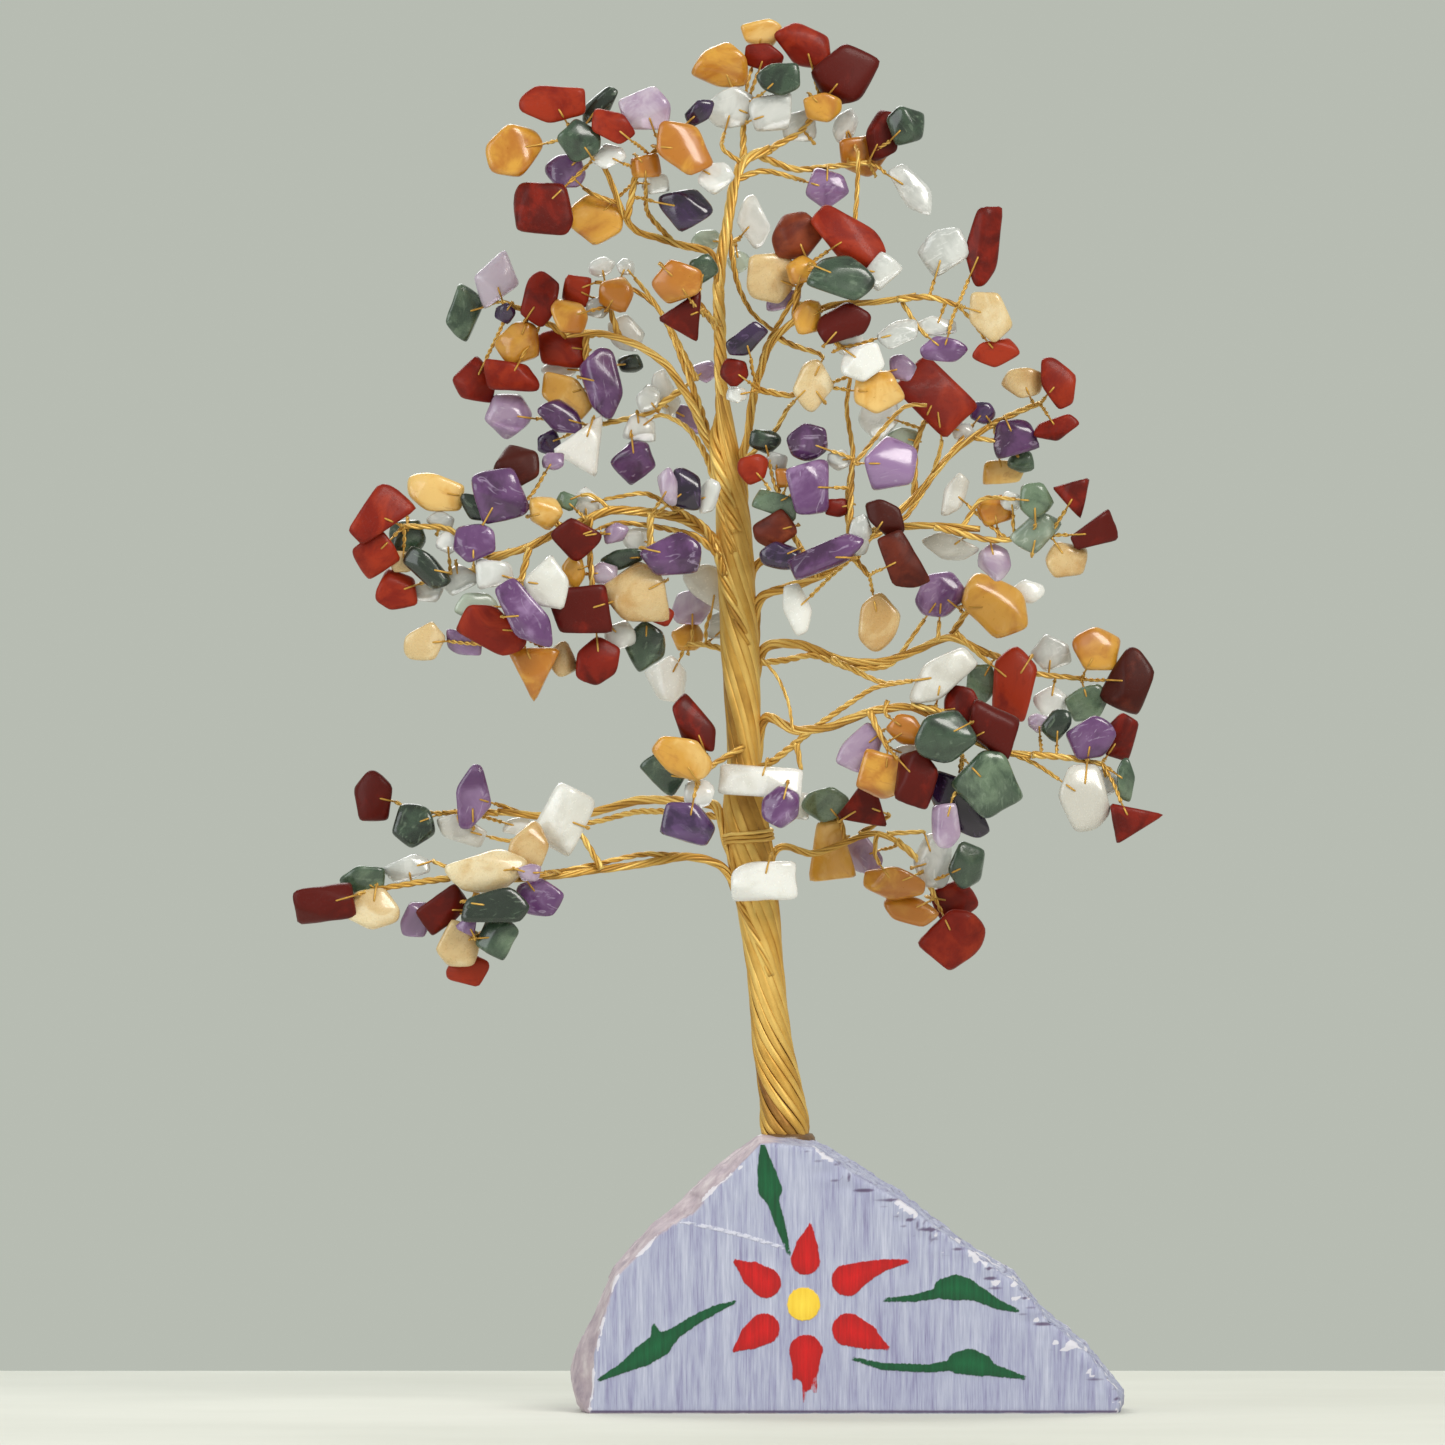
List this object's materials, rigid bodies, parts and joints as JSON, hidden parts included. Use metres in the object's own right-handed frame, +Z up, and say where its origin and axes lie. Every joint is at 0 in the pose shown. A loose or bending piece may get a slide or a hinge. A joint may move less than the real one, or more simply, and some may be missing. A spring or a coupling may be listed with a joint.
{
  "type": "gemstone chip wire tree of life",
  "caption": "Tabletop tree of life: tumbled stone chips held on twisted gold wire limbs, standing in a rock-shaped clay block painted with a red flower.",
  "frame": {"origin": "centre of the block's underside, on the surface that it stands on", "axes": "+Z up the tree, +X to the viewer's right, and the painted flower faces -Y"},
  "size_m": [0.1844, 0.0607, 0.2998],
  "materials": {
    "painted_clay": "matte hand-painted lavender grey, with a painted red flower and green leaves",
    "clear_glue": "set adhesive",
    "gold_wire": "bright drawn wire",
    "red_jasper": "tumbled and polished red jasper",
    "brown_jasper": "tumbled and polished brown jasper",
    "golden_aventurine": "tumbled and polished golden aventurine",
    "cream_jade": "tumbled and polished cream jade",
    "amethyst": "tumbled and polished amethyst",
    "pale_amethyst": "tumbled and polished pale amethyst",
    "dark_amethyst": "tumbled and polished dark amethyst",
    "clear_quartz": "tumbled and polished clear quartz",
    "white_quartz": "tumbled and polished white quartz",
    "green_aventurine": "tumbled and polished green aventurine"
  },
  "bodies": {
    "root": {"painted_block": "painted_clay", "socket_glue": "clear_glue", "trunk_bundle": "gold_wire", "binding_wire": "gold_wire", "upper_trunk_stone": "white_quartz", "side_trunk_stone": "amethyst", "lower_trunk_stone": "white_quartz", "trunk_stub_spray": "white_quartz", "trunk_left_spray": "dark_amethyst"},
    "low_left_upper": {"low_left_upper_limb": "gold_wire", "low_left_tip_spray": "amethyst"},
    "low_left_lower": {"low_left_lower_limb": "gold_wire", "low_left_white_spray": "white_quartz", "low_left_end_spray": "red_jasper", "low_left_under_spray": "pale_amethyst", "low_left_drop_spray": "green_aventurine"},
    "left_middle": {"left_middle_limb": "gold_wire", "left_middle_end_spray": "red_jasper", "left_middle_crown_spray": "amethyst", "left_middle_low_spray": "amethyst", "left_middle_drop_spray": "amethyst", "left_middle_inner_spray": "red_jasper", "left_middle_near_spray": "amethyst"},
    "left_upper": {"left_upper_limb": "gold_wire", "left_upper_end_spray": "red_jasper", "left_upper_crown_spray": "golden_aventurine", "left_upper_heart_spray": "amethyst", "left_upper_low_spray": "white_quartz"},
    "leader": {"leader_limb": "gold_wire", "leader_left_spray": "golden_aventurine", "leader_right_spray": "clear_quartz", "top_left_crown_spray": "green_aventurine", "top_middle_crown_spray": "golden_aventurine", "top_right_crown_spray": "amethyst"},
    "top_left": {"top_left_limb": "gold_wire", "top_left_outer_spray": "red_jasper", "top_left_inner_spray": "golden_aventurine"},
    "right_inner": {"right_inner_limb": "gold_wire", "inner_crown_spray": "green_aventurine", "inner_heart_spray": "red_jasper", "inner_low_spray": "golden_aventurine", "right_upper_spray": "cream_jade"},
    "right_column": {"right_column_limb": "gold_wire", "column_high_spray": "amethyst", "column_left_spray": "dark_amethyst", "column_low_spray": "brown_jasper", "right_middle_spray": "red_jasper"},
    "right_long": {"right_long_limb": "gold_wire", "right_long_near_spray": "red_jasper", "right_long_end_spray": "red_jasper"},
    "right_lower": {"right_lower_limb": "gold_wire", "right_lower_high_spray": "golden_aventurine", "right_lower_end_spray": "brown_jasper"},
    "low_right": {"low_right_limb": "gold_wire", "low_right_near_spray": "red_jasper", "low_right_heart_spray": "green_aventurine", "low_right_end_spray": "red_jasper"},
    "droop": {"droop_limb": "gold_wire", "droop_left_spray": "red_jasper", "droop_right_spray": "green_aventurine"}
  },
  "joints": [
    {"name": "low_left_upper_bend", "type": "hinge", "parent": "root", "child": "low_left_upper", "pos_m": [-0.0286, 0.002, 0.131], "axis": [0, 1, 0], "range_deg": [-8, 8]},
    {"name": "low_left_lower_bend", "type": "hinge", "parent": "root", "child": "low_left_lower", "pos_m": [-0.0273, -0.001, 0.1176], "axis": [0, 1, 0], "range_deg": [-8, 8]},
    {"name": "left_middle_bend", "type": "hinge", "parent": "root", "child": "left_middle", "pos_m": [-0.0298, -0.001, 0.189], "axis": [0, 1, 0], "range_deg": [-6, 6]},
    {"name": "left_upper_bend", "type": "hinge", "parent": "root", "child": "left_upper", "pos_m": [-0.0313, 0.0015, 0.209], "axis": [0, 1, 0], "range_deg": [-6, 6]},
    {"name": "leader_bend", "type": "hinge", "parent": "root", "child": "leader", "pos_m": [-0.0272, 0, 0.213], "axis": [0, 1, 0], "range_deg": [-4, 4]},
    {"name": "top_left_bend", "type": "hinge", "parent": "leader", "child": "top_left", "pos_m": [-0.0298, -0.0012, 0.25], "axis": [0, 1, 0], "range_deg": [-6, 6]},
    {"name": "right_inner_bend", "type": "hinge", "parent": "root", "child": "right_inner", "pos_m": [-0.0222, -0.002, 0.2085], "axis": [0, 1, 0], "range_deg": [-6, 6]},
    {"name": "right_column_bend", "type": "hinge", "parent": "root", "child": "right_column", "pos_m": [-0.0194, -0.0015, 0.176], "axis": [0, 1, 0], "range_deg": [-5, 5]},
    {"name": "right_long_bend", "type": "hinge", "parent": "root", "child": "right_long", "pos_m": [-0.02, 0.0015, 0.183], "axis": [0, 1, 0], "range_deg": [-6, 6]},
    {"name": "right_lower_bend", "type": "hinge", "parent": "root", "child": "right_lower", "pos_m": [-0.0185, 0.0015, 0.165], "axis": [0, 1, 0], "range_deg": [-6, 6]},
    {"name": "low_right_bend", "type": "hinge", "parent": "root", "child": "low_right", "pos_m": [-0.0184, -0.001, 0.1505], "axis": [0, 1, 0], "range_deg": [-6, 6]},
    {"name": "droop_bend", "type": "hinge", "parent": "root", "child": "droop", "pos_m": [-0.0154, 0.0015, 0.122], "axis": [0, 1, 0], "range_deg": [-8, 8]}
  ]
}
